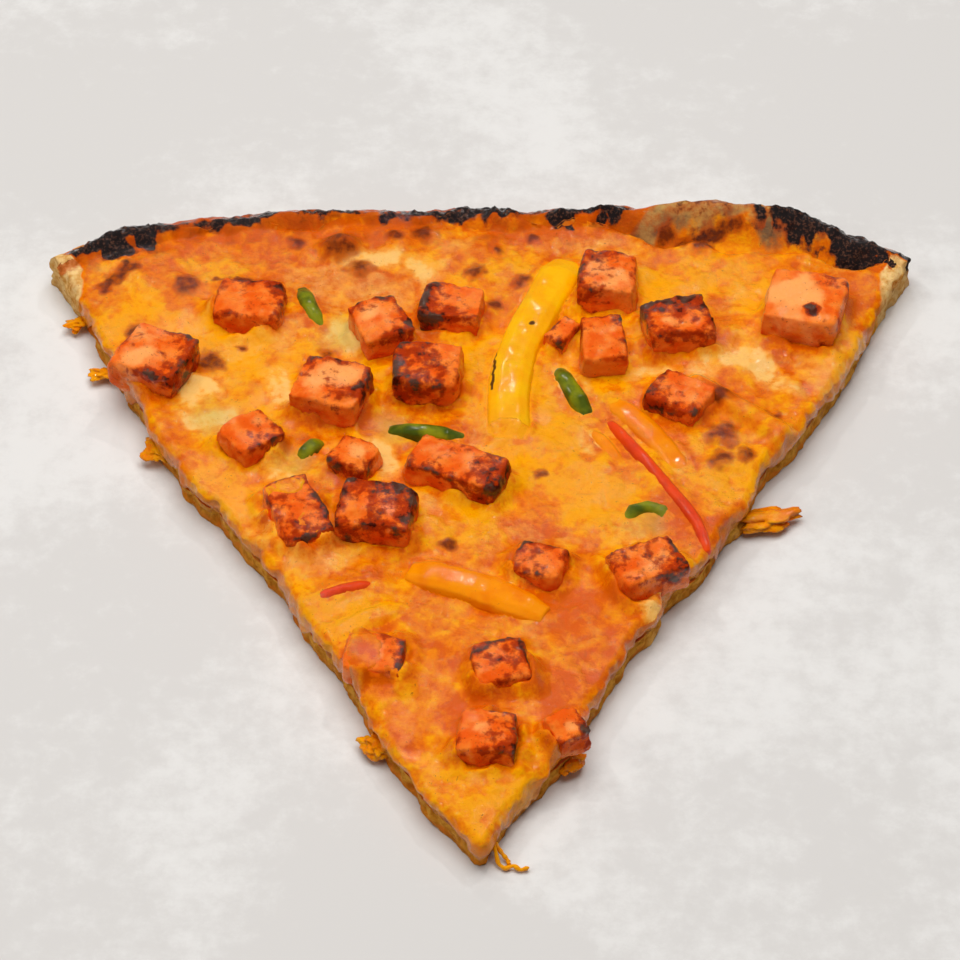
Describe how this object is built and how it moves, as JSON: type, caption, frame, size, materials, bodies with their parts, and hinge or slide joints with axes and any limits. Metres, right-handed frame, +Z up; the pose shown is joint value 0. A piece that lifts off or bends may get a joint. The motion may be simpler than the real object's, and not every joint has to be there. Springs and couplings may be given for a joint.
{
  "type": "vegetable pizza slice",
  "caption": "Thin triangular slice of vegetable pizza with melted cheese, spiced cheese cubes, pepper strips and a charred crust.",
  "frame": {"origin": "middle of the slice's box, on the flat underside that it rests on", "axes": "+Z up out of the topping, +Y from the tip towards the crust, +X to the right as seen from the tip"},
  "size_m": [0.1506, 0.1466, 0.0136],
  "materials": {
    "dough": "matte baked dough, charred along the rim",
    "sauce": "moist",
    "cheese": "oily melted cheese",
    "paneer": "moist, charred at the edges",
    "yellow_pepper": "glossy cooked skin",
    "orange_pepper": "glossy cooked skin",
    "red_pepper": "glossy cooked skin",
    "green_pepper": "glossy cooked skin"
  },
  "bodies": {
    "root": {"crust": "dough", "sauce": "sauce", "cheese": "cheese", "paneer_01": "paneer", "paneer_02": "paneer", "paneer_03": "paneer", "paneer_04": "paneer", "paneer_05": "paneer", "paneer_06": "paneer", "paneer_07": "paneer", "paneer_08": "paneer", "paneer_09": "paneer", "paneer_10": "paneer", "paneer_11": "paneer", "paneer_12": "paneer", "paneer_13": "paneer", "paneer_14": "paneer", "paneer_15": "paneer", "paneer_16": "paneer", "paneer_17": "paneer", "paneer_18": "paneer", "paneer_19": "paneer", "paneer_20": "paneer", "paneer_21": "paneer", "paneer_22": "paneer", "paneer_23": "paneer", "yellow_pepper": "yellow_pepper", "orange_pepper_1": "orange_pepper", "orange_pepper_2": "orange_pepper", "orange_pepper_3": "orange_pepper", "orange_pepper_4": "orange_pepper", "red_pepper_1": "red_pepper", "red_pepper_2": "red_pepper", "green_pepper_1": "green_pepper", "green_pepper_2": "green_pepper", "green_pepper_3": "green_pepper", "green_pepper_4": "green_pepper", "green_pepper_5": "green_pepper"}
  },
  "joints": []
}
